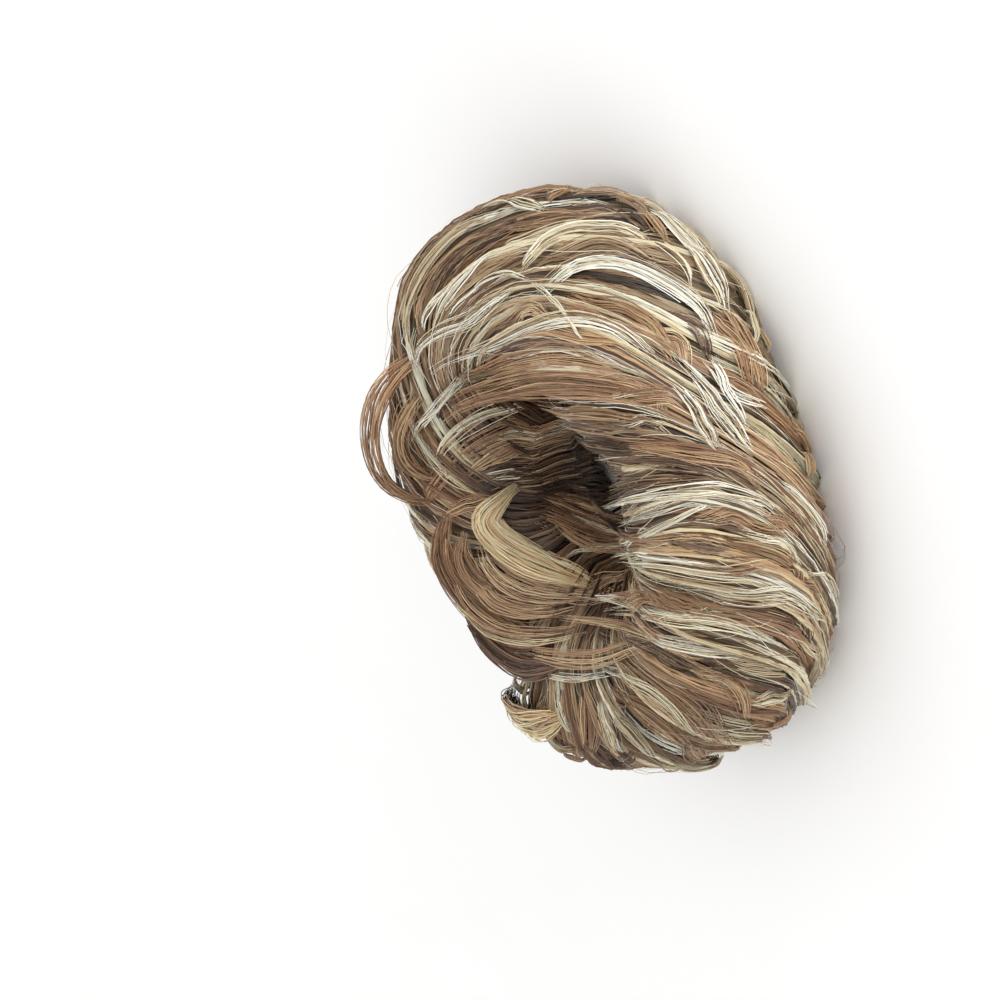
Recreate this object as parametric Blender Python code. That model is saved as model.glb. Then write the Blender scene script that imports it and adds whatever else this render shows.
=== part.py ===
"""A bun ring of synthetic hair: locks wound over an elastic loop, with loose curls on its upper face.

The ring lies on its side. Its axis is +Z, and the face that the curls grow on is up.
Angle u runs round the ring from +X. Angle v runs round the tube of hair: 0 at the outer rim,
90 at the crest, 180 at the wall of the hole and -90 at the side that it rests on.
"""

import math

import bmesh
import bpy
from mathutils import Vector

MM = 0.001

# Driving sizes of the ring of hair, in millimetres
RING_RADIUS = 48.0      # from the ring's axis to the middle of the tube
TUBE_OUT = 21.6         # from the middle of the tube to its rim, under the locks
TUBE_IN = 22.6          # from the middle of the tube to the wall of the hole, under the locks
TUBE_TOP = 23.2         # from the middle of the tube up to its crest, under the locks
TUBE_FLOOR = 19.0       # from the middle of the tube down to where it is pressed flat
MIDDLE_Z = 20.0         # height of the middle of the tube above the floor
FLAT_PRESS = 1.0        # how much of the lowest ridges the weight presses flat
HOLE_RELIEF = 0.35      # share of a lock's height that is left in the hole
FOOT_SQUARENESS = 0.62  # power of the sine and cosine low in the hole: under 1 is fuller than an ellipse

# Facets of the ring of hair
COLUMNS_PER_LOCK = 4
TUBE_ROWS = 30
LOCKS_PER_TURN = 10     # how many locks further on a lock meets itself, once round the tube

# Elastic loop in the wall of the hole, in millimetres
SEAT_RADIUS = 24.0
SEAT_HALF_WIDTH = 5.4
BAND_WIDTH = 7.0
BAND_THICK = 2.0
BAND_EDGE = 0.5
BAND_FACETS = 40
GAP = 0.3               # clear space between pieces that touch

# The locks of the pictured side. Each row gives angle u in whole degrees where the lock passes
# the six places of LOCK_PLACES, and how proud it stands in millimetres.
LOCK_PLACES = (160, 120, 90, 60, 30, 0)
LOCKS = (
    # hole, throat, crest, shoulder, side, rim, proud
    (76, 50, 30, 15, 0, -26, 2.6),
    (67, 38, 12, -4, -22, -38, 2.0),
    (59, 29, 2, -15, -35, -50, 2.8),
    (51, 22, -6, -28, -47, -62, 1.8),
    (43, 15, -13, -34, -56, -75, 3.2),
    (34, 7, -21, -41, -67, -84, 2.0),
    (24, -2, -29, -48, -76, -91, 3.0),
    (12, -12, -38, -58, -82, -96, 2.2),
    (-5, -28, -52, -69, -87, -100, 2.6),
    (-25, -50, -66, -77, -90, -104, 2.8),
    (-50, -68, -78, -84, -94, -108, 2.0),
    (-72, -84, -89, -91, -99, -112, 1.4),
    (-90, -101, -99, -98, -103, -116, 3.2),
    (-104, -108, -106, -104, -109, -120, 2.2),
    (-113, -114, -112, -112, -116, -125, 2.6),
    (-121, -120, -118, -118, -122, -131, 3.2),
    (-130, -126, -124, -125, -128, -137, 2.0),
    (-140, -134, -131, -132, -135, -144, 3.0),
    (-152, -145, -140, -140, -143, -151, 1.8),
    (-164, -158, -150, -148, -151, -158, 2.6),
    (-174, -168, -162, -160, -162, -167, 3.0),
    (-182, -177, -172, -171, -173, -177, 2.0),
    (-190, -186, -181, -181, -183, -187, 2.8),
    (-198, -195, -191, -192, -194, -198, 1.8),
    (-206, -204, -200, -202, -205, -209, 2.6),
    (-214, -213, -209, -212, -216, -220, 2.0),
    (-222, -222, -219, -223, -227, -231, 2.6),
)
FAR_LOCKS = 10          # locks on the far side, spaced evenly between the last row and the first
FAR_PROUD = (2.6, 2.0)  # their heights, in turn

# Height across one lock, from its ridge over the groove to the next ridge
RIDGE_SHAPE = ((1.0, 0.0), (0.85, 0.0), (0.0, 0.0), (0.0, 0.6))

# Hollows and bumps of the roll: where, how deep (out is positive) and how wide, in millimetres
SWELLS = (
    # u, v, height, reach round the ring, reach over the tube
    (-91, 88, -1.8, 6.0, 12.0),
    (-93, 60, -2.5, 5.0, 12.0),
    (-66, 2, -2.5, 8.0, 6.0),
    (-78, 14, -2.0, 6.0, 6.0),
    (-48, -46, 3.4, 22.0, 11.0),
    (-100, -32, -3.4, 17.0, 12.0),
    (40, 80, -3.2, 12.0, 14.0),
    (116, 92, -5.0, 26.0, 16.0),
    (147, 58, 4.5, 11.0, 14.0),
    (182, 40, -2.5, 6.0, 14.0),
)

# Loose curls: points on their way as (u, v, height over the grooves), and size in millimetres
CURLS = {
    "curl_blond": {
        "way": ((70, 160, 3.0), (76, 146, 5.0), (82, 136, 5.5), (92, 137, 5.0), (104, 143, 4.0),
                (118, 151, 3.0), (134, 158, 2.6), (150, 160, 2.4)),
        "width": 7.0, "thick": 3.6, "colour": (0.80, 0.72, 0.52)},
    "curl_brown_inner": {
        "way": ((84, 120, 4.0), (92, 112, 6.0), (102, 112, 6.5), (114, 118, 5.5), (126, 128, 4.0),
                (138, 138, 2.6)),
        "width": 5.0, "thick": 3.4, "colour": (0.30, 0.17, 0.11)},
    "curl_brown_outer": {
        "way": ((76, 112, 2.6), (84, 104, 5.5), (94, 98, 6.5), (106, 98, 6.0), (120, 104, 5.0),
                (134, 114, 4.0), (148, 126, 2.6)),
        "width": 6.0, "thick": 4.0, "colour": (0.27, 0.14, 0.09)},
    "curl_dark_lower": {
        "way": ((100, 84, 2.6), (110, 84, 5.0), (122, 90, 6.0), (136, 98, 5.0), (150, 108, 4.0),
                (164, 118, 2.4)),
        "width": 5.0, "thick": 3.6, "colour": (0.12, 0.06, 0.04)},
    "curl_golden_tail": {
        "way": ((158, 86, -1.0), (150, 78, 3.0), (142, 71, 5.5), (135, 65, 6.5), (129, 57, 5.5),
                (125, 48, 2.5)),
        "width": 4.6, "thick": 2.8, "colour": (0.62, 0.48, 0.27)},
    "curl_side_loop": {
        "way": ((20, 84, -2.0), (26, 84, 5.0), (36, 86, 12.0), (48, 89, 14.5), (60, 92, 12.5),
                (69, 96, 7.0), (74, 100, -1.0)),
        "width": 3.6, "thick": 2.6, "colour": (0.27, 0.14, 0.09)},
    "curl_side_wisp": {
        "way": ((30, 96, -1.5), (37, 96, 5.0), (46, 97, 9.0), (56, 100, 8.0), (63, 104, 3.5),
                (66, 107, -1.5)),
        "width": 2.6, "thick": 2.0, "colour": (0.30, 0.17, 0.11)},
}
CURL_SIDES = 8
CURL_STEPS = 14
TIP_WIDTHS = (0.38, 0.66, 0.88)   # width of the first sections after a tip, as a share of the full width


def clear_scene():
    for obj in list(bpy.data.objects):
        bpy.data.objects.remove(obj, do_unlink=True)


def paint(obj, name, colour, roughness):
    """Give the object its own plain material."""
    material = bpy.data.materials.new(name)
    material.use_nodes = True
    shader = material.node_tree.nodes["Principled BSDF"]
    shader.inputs["Base Color"].default_value = (*colour, 1.0)
    shader.inputs["Roughness"].default_value = roughness
    shader.inputs["Metallic"].default_value = 0.0
    obj.data.materials.append(material)


def mesh_object(name, points, faces):
    """A closed mesh from points in millimetres, smooth, with its faces turned outwards."""
    mesh = bpy.data.meshes.new(name)
    mesh.from_pydata([tuple(c * MM for c in point) for point in points], [], faces)
    body = bmesh.new()
    body.from_mesh(mesh)
    bmesh.ops.recalc_face_normals(body, faces=body.faces[:])
    body.to_mesh(mesh)
    body.free()
    mesh.shade_smooth()
    obj = bpy.data.objects.new(name, mesh)
    bpy.context.scene.collection.objects.link(obj)
    return obj


def through(places, values, at):
    """Smooth curve through the values; the places run downwards."""
    last = len(places) - 1
    k = 0
    while k < last - 1 and at < places[k + 1]:
        k += 1
    slopes = []
    for i in (k, k + 1):
        low, high = max(i - 1, 0), min(i + 1, last)
        slopes.append((values[high] - values[low]) / (places[high] - places[low]))
    span = places[k + 1] - places[k]
    t = (at - places[k]) / span
    start = values[k] * (1 + 2 * t) * (1 - t) ** 2 + slopes[0] * span * t * (1 - t) ** 2
    end = values[k + 1] * (3 - 2 * t) * t ** 2 + slopes[1] * span * (t - 1) * t ** 2
    return start + end


def all_locks():
    """The pictured locks, then the far ones, evenly spaced on to the first lock again."""
    rows = list(LOCKS)
    last, first = LOCKS[-1], LOCKS[0]
    for step in range(1, FAR_LOCKS + 1):
        share = step / (FAR_LOCKS + 1)
        angles = [a + (b - 360 - a) * share for a, b in zip(last[:-1], first[:-1])]
        rows.append((*angles, FAR_PROUD[step % len(FAR_PROUD)]))
    return rows


class LockField:
    """Where every lock runs, all the way round the tube."""

    under_places = (-45, -90, -135, -180)
    under_shares = (0.36, 0.62, 0.84, 1.0)

    def __init__(self):
        self.rows = all_locks()
        self.count = len(self.rows)
        self.places = (180, *LOCK_PLACES, *self.under_places)
        self.tracks = [self.track(i) for i in range(self.count)]

    def hole_angle(self, index):
        return self.rows[index % self.count][0] - 360 * (index // self.count)

    def track(self, index):
        angles = self.rows[index][:-1]
        meets = self.hole_angle(index + LOCKS_PER_TURN)
        under = [angles[-1] + (meets - angles[-1]) * share for share in self.under_shares]
        return (angles[0], *angles, *under)

    def angle(self, index, v):
        """Angle u of a lock's ridge at v, for any whole index."""
        track = self.tracks[index % self.count]
        return through(self.places, track, v) - 360 * (index // self.count)

    def proud(self, index):
        return self.rows[index % self.count][-1]


def bare_tube(u, v):
    """Point on the tube under the locks, and the direction out of it, in millimetres."""
    cos_u, sin_u = math.cos(math.radians(u)), math.sin(math.radians(u))
    cos_v, sin_v = math.cos(math.radians(v)), math.sin(math.radians(v))
    across = TUBE_OUT if cos_v > 0 else TUBE_IN
    up = TUBE_TOP if sin_v > 0 else TUBE_FLOOR
    out = Vector((cos_v / across * cos_u, cos_v / across * sin_u, sin_v / up)).normalized()
    if cos_v < 0 and sin_v < 0:
        cos_v = -abs(cos_v) ** FOOT_SQUARENESS
        sin_v = -abs(sin_v) ** FOOT_SQUARENESS
    radius = RING_RADIUS + across * cos_v
    point = Vector((radius * cos_u, radius * sin_u, MIDDLE_Z + up * sin_v))
    return point, out


def swell(u, v):
    """Height that the hollows and bumps add at (u, v)."""
    height = 0.0
    for at_u, at_v, size, reach_u, reach_v in SWELLS:
        turn = (u - at_u + 180) % 360 - 180
        radius = RING_RADIUS + TUBE_OUT * math.cos(math.radians(v))
        round_mm = math.radians(turn) * radius / reach_u
        over_mm = math.radians(v - at_v) * TUBE_OUT / reach_v
        height += size * math.exp(-(round_mm ** 2 + over_mm ** 2) / 2)
    return height


def relief_share(v):
    """A lock stands fully proud outside and is pulled tight in the hole."""
    inside = max(0.0, -math.cos(math.radians(v)))
    return 1.0 - (1.0 - HOLE_RELIEF) * inside ** 2


def roll_point(field, column, v):
    index, step = divmod(column, COLUMNS_PER_LOCK)
    share = step / COLUMNS_PER_LOCK
    u = field.angle(index, v) * (1 - share) + field.angle(index + 1, v) * share
    own, following = RIDGE_SHAPE[step]
    height = own * field.proud(index) + following * field.proud(index + 1)
    point, out = bare_tube(u, v)
    point += out * (height * relief_share(v) + swell(u, v))
    in_hole = math.cos(math.radians(v)) < 0
    if in_hole and abs(point.z - MIDDLE_Z) < SEAT_HALF_WIDTH:
        turn = math.radians(u)
        point = Vector((SEAT_RADIUS * math.cos(turn), SEAT_RADIUS * math.sin(turn), point.z))
    point.z = max(point.z, FLAT_PRESS) - FLAT_PRESS
    return point


def build_roll():
    """The wound locks as one closed ring, whose facets follow the locks."""
    field = LockField()
    columns = field.count * COLUMNS_PER_LOCK
    rows = [180 - 360 * j / TUBE_ROWS for j in range(TUBE_ROWS)]
    points = [roll_point(field, c, v) for v in rows for c in range(columns)]
    faces = []
    for j in range(TUBE_ROWS):
        closing = j == TUBE_ROWS - 1
        below = 0 if closing else (j + 1) * columns
        shift = LOCKS_PER_TURN * COLUMNS_PER_LOCK if closing else 0
        for c in range(columns):
            here, there = c, (c + 1) % columns
            faces.append((j * columns + here, below + (here + shift) % columns,
                          below + (there + shift) % columns, j * columns + there))
    roll = mesh_object("hair_roll", points, faces)
    paint(roll, "wound hair", (0.24, 0.15, 0.10), 0.5)
    return roll


def build_band():
    """The elastic loop: a flat ring with eased edges, just inside its seat."""
    outer = SEAT_RADIUS - GAP
    inner = outer - BAND_THICK
    half = BAND_WIDTH / 2
    edge = BAND_EDGE
    profile = ((outer, half - edge), (outer - edge, half), (inner + edge, half), (inner, half - edge),
               (inner, edge - half), (inner + edge, -half), (outer - edge, -half), (outer, edge - half))
    middle = MIDDLE_Z - FLAT_PRESS
    points = []
    for i in range(BAND_FACETS):
        angle = 2 * math.pi * (i + 0.5) / BAND_FACETS
        points += [(r * math.cos(angle), r * math.sin(angle), middle + z) for r, z in profile]
    sides = len(profile)
    faces = []
    for i in range(BAND_FACETS):
        for k in range(sides):
            a, b = i * sides, ((i + 1) % BAND_FACETS) * sides
            faces.append((a + k, b + k, b + (k + 1) % sides, a + (k + 1) % sides))
    band = mesh_object("elastic_band", points, faces)
    paint(band, "woven elastic", (0.05, 0.035, 0.03), 0.8)


def curl_way(way):
    """Evenly spaced points on a smooth curve through the way's points."""
    knots = []
    for u, v, height in way:
        point, out = bare_tube(u, v)
        point += out * (height + swell(u, v))
        point.z -= FLAT_PRESS
        knots.append(point)
    last = len(knots) - 1
    places = [-i for i in range(len(knots))]
    points = []
    for step in range(CURL_STEPS + 1):
        at = -last * step / CURL_STEPS
        points.append(Vector([through(places, [knot[axis] for knot in knots], at) for axis in range(3)]))
    return points


def build_curl(name, way, width, thick):
    """A flat tapered lock along its way, lying with its broad side on the roll."""
    points = curl_way(way)
    last = len(points) - 1
    mesh_points = [points[0]]
    for i in range(1, last):
        along = (points[i + 1] - points[i - 1]).normalized()
        radial = Vector((points[i].x, points[i].y, 0)).normalized()
        core = radial * RING_RADIUS + Vector((0, 0, MIDDLE_Z))
        out = points[i] - core
        out = (out - along * out.dot(along)).normalized()
        side = along.cross(out)
        from_tip = min(i, last - i)
        share = TIP_WIDTHS[from_tip - 1] if from_tip <= len(TIP_WIDTHS) else 1.0
        for k in range(CURL_SIDES):
            turn = 2 * math.pi * k / CURL_SIDES
            offset = side * (width / 2 * math.cos(turn)) + out * (thick / 2 * math.sin(turn))
            mesh_points.append(points[i] + offset * share)
    mesh_points.append(points[last])
    rings = last - 1
    faces = []
    for k in range(CURL_SIDES):
        following = (k + 1) % CURL_SIDES
        faces.append((0, 1 + k, 1 + following))
        for r in range(rings - 1):
            a, b = 1 + r * CURL_SIDES, 1 + (r + 1) * CURL_SIDES
            faces.append((a + k, b + k, b + following, a + following))
        end = 1 + (rings - 1) * CURL_SIDES
        faces.append((end + k, len(mesh_points) - 1, end + following))
    return mesh_object(name, mesh_points, faces)


def seat_curls(roll):
    """Make the curls, and cut each one's seat in the roll a gap wider than the curl."""
    for name, curl in CURLS.items():
        lock = build_curl(name, curl["way"], curl["width"], curl["thick"])
        paint(lock, name + " hair", curl["colour"], 0.45)
        seat = build_curl(name + "_seat", curl["way"], curl["width"] + 2 * GAP, curl["thick"] + 2 * GAP)
        seat.hide_render = True
        seat.display_type = "WIRE"
        cut = roll.modifiers.new(name + " seat", "BOOLEAN")
        cut.operation = "DIFFERENCE"
        cut.solver = "EXACT"
        cut.object = seat


def main():
    clear_scene()
    roll = build_roll()
    build_band()
    seat_curls(roll)


main()
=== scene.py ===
"""Looks for a bun ring of synthetic hair: thousands of strands wound in locks over an elastic loop.

The ring lies on its side with its axis along +Z. Angle u runs round the ring from +X. Angle v runs
round the tube of hair: 0 at the outer rim, 90 at the crest, 180 in the hole and -90 underneath.
A lock coordinate counts the wound locks, so that 4.5 is the groove between locks 4 and 5.
"""

import math

import bpy
import numpy as np
from mathutils import Matrix, Vector
from mathutils.bvhtree import BVHTree


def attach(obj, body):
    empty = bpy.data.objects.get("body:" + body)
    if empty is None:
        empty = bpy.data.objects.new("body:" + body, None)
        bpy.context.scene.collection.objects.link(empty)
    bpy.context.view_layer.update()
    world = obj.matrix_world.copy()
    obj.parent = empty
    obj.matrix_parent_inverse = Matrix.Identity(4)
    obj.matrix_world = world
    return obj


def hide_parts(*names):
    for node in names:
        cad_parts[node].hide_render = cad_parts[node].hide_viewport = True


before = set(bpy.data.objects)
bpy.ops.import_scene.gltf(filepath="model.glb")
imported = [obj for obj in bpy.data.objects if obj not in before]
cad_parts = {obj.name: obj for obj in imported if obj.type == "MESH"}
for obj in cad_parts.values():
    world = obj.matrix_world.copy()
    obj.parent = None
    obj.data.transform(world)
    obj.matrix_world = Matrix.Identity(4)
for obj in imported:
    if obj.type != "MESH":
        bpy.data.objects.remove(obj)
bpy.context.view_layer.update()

MM = 0.001
SEED = 20

# Sizes of the ring of hair in millimetres, the same as the solids'
RING_RADIUS = 48.0
TUBE_OUT = 21.6
TUBE_IN = 22.6
TUBE_TOP = 23.2
TUBE_FLOOR = 19.0
MIDDLE_Z = 19.0         # height of the middle of the tube above the floor
HOLE_RELIEF = 0.35
FOOT_SQUARENESS = 0.62
LOCKS_PER_TURN = 10     # how many locks further on a lock meets itself, once round the tube
SEAT_RADIUS = 24.0
SEAT_HALF_WIDTH = 5.4
BAND_INSIDE = 21.7

# How strands keep clear of the floor and of the elastic loop, in millimetres
FLOOR_CLEARANCE = 0.05
BAND_CLEARANCE = 0.3
BAND_LEAD = 4.0         # how far above and below the loop a strand starts to lean over it
OVER_WISPS = 0.3        # how much further in a tress lies over the loop than the locks' wisps

# Painted shade in the hole: a lock's hair is painted darker there for the shade it lies in: by how much, and
# from what share of the way in, over what share
HOLE_PAINTED_SHADE = 0.55
HOLE_SHADE_FROM = 0.45
HOLE_SHADE_OVER = 0.4

# The locks: angle u in degrees where each passes the places in LOCK_PLACES, and its height in millimetres.
# tone runs from 0, nearly black, to 1, white; warmth from 0, ash, to 1, reddish.
LOCK_PLACES = (160, 120, 90, 60, 30, 0)
LOCKS = (
    # hole, throat, crest, shoulder, side, rim, proud, tone, warmth
    (76, 50, 30, 15, 0, -26, 2.6, 0.38, 0.3),
    (67, 38, 12, -4, -22, -38, 2.0, 0.40, 0.5),
    (59, 29, 2, -15, -35, -50, 2.8, 0.86, 0.4),
    (51, 22, -6, -28, -47, -62, 1.8, 0.36, 0.3),
    (43, 15, -13, -34, -56, -75, 3.2, 0.90, 0.3),
    (34, 7, -21, -41, -67, -84, 2.0, 0.48, 0.9),
    (24, -2, -29, -48, -76, -91, 3.0, 0.84, 0.4),
    (12, -12, -38, -58, -82, -96, 2.2, 0.62, 0.8),
    (-5, -28, -52, -69, -87, -100, 2.6, 0.50, 0.9),
    (-25, -50, -66, -77, -90, -104, 2.8, 0.42, 0.7),
    (-50, -68, -78, -84, -94, -108, 2.0, 0.50, 0.4),
    (-72, -84, -89, -91, -99, -112, 1.4, 0.24, 0.5),
    (-90, -101, -99, -98, -103, -116, 3.2, 0.86, 0.1),
    (-104, -108, -106, -104, -109, -120, 2.2, 0.46, 0.8),
    (-113, -114, -112, -112, -116, -125, 2.6, 0.62, 0.6),
    (-121, -120, -118, -118, -122, -131, 3.2, 0.88, 0.4),
    (-130, -126, -124, -125, -128, -137, 2.0, 0.42, 0.7),
    (-140, -134, -131, -132, -135, -144, 3.0, 0.84, 0.4),
    (-152, -145, -140, -140, -143, -151, 1.8, 0.24, 0.5),
    (-164, -158, -150, -148, -151, -158, 2.6, 0.50, 0.7),
    (-174, -168, -162, -160, -162, -167, 3.0, 0.82, 0.4),
    (-182, -177, -172, -171, -173, -177, 2.0, 0.42, 0.3),
    (-190, -186, -181, -181, -183, -187, 2.8, 0.84, 0.2),
    (-198, -195, -191, -192, -194, -198, 1.8, 0.40, 0.6),
    (-206, -204, -200, -202, -205, -209, 2.6, 0.32, 0.5),
    (-214, -213, -209, -212, -216, -220, 2.0, 0.44, 0.6),
    (-222, -222, -219, -223, -227, -231, 2.6, 0.34, 0.5),
)
FAR_LOCKS = 10
FAR_PROUD = (2.6, 2.0)
FAR_TONES = ((0.44, 0.6), (0.84, 0.3), (0.34, 0.5), (0.52, 0.8), (0.86, 0.4))

# The first lock of each piece, and the one after its last
LOCK_PIECES = {"locks_right": (0, 9), "locks_front": (9, 18), "locks_left": (18, 27), "locks_back": (27, 37)}

# Hollows and bumps of the roll: where, how deep (out is positive) and how wide, in millimetres
SWELLS = (
    # u, v, height, reach round the ring, reach over the tube
    (-91, 88, -1.8, 6.0, 12.0),
    (-93, 60, -2.5, 5.0, 12.0),
    (-66, 2, -2.5, 8.0, 6.0),
    (-78, 14, -2.0, 6.0, 6.0),
    (-48, -46, 3.4, 22.0, 11.0),
    (-100, -32, -3.4, 17.0, 12.0),
    (40, 80, -3.2, 12.0, 14.0),
    (116, 92, -5.0, 26.0, 16.0),
    (147, 58, 4.5, 11.0, 14.0),
    (182, 40, -2.5, 6.0, 14.0),
)

# Hair in the locks. Each lock is wisps of strands that start and end anywhere round the tube.
LOCK_WISPS = 15
MIXED_WISPS = 0.42           # share of the wisps whose tone isn't their lock's
WISP_TONES = (0.14, 0.26, 0.36, 0.44, 0.48, 0.54, 0.62, 0.86)
WISP_STRANDS = (9, 16)
WISP_TURN = (120.0, 250.0)   # degrees of the tube that a wisp goes round
WISP_RAGGED = 6.0            # degrees by which its strands start apart
WISP_DEPTH = (-0.9, 0.35)    # millimetres over the lock
OUTER_WISP = -0.2            # a wisp over this depth crosses the elastic loop; a deeper one goes behind
WISP_SPREAD = (0.05, 0.12)   # half its width, in locks
WISP_PLACES = 0.46           # how far from its lock's ridge a wisp may run, in locks
WISP_WANDER = 0.06           # how far it strays on its way, in locks
WISP_TIGHTENING = 0.25       # share by which its width varies on its way
WISP_CROWN = 0.55            # how much higher its middle is than its sides, in millimetres
WISP_LEVELS = 0.2            # how far up or down its strands lie, in millimetres
WISP_STRAND_WANDER = (0.010, 0.07)   # how far they stray aside, in locks, and up, in millimetres
WISP_TIPS = (0.12, 0.35)     # share of the way over which a strand thins out, and its width at the tip
WISP_SPREADS = (0.045, 0.1)  # how far the tones and the warmths of its strands differ
LOCK_SPREADS = (0.07, 0.15)  # and those of the wisps of a lock
TIGHT_WIDTH = 0.6            # share of its width that a strand keeps where the locks are pulled flat
LOCK_STEPS = 14
STRAND_WIDTH = (0.22, 0.42)  # millimetres; a few fibres that lie together, as one is too fine to show
TUCK = 2.2                   # how deep a wisp's ends go into the roll
TUCK_SHARE = 0.10            # share of its way over which they go in

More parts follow.
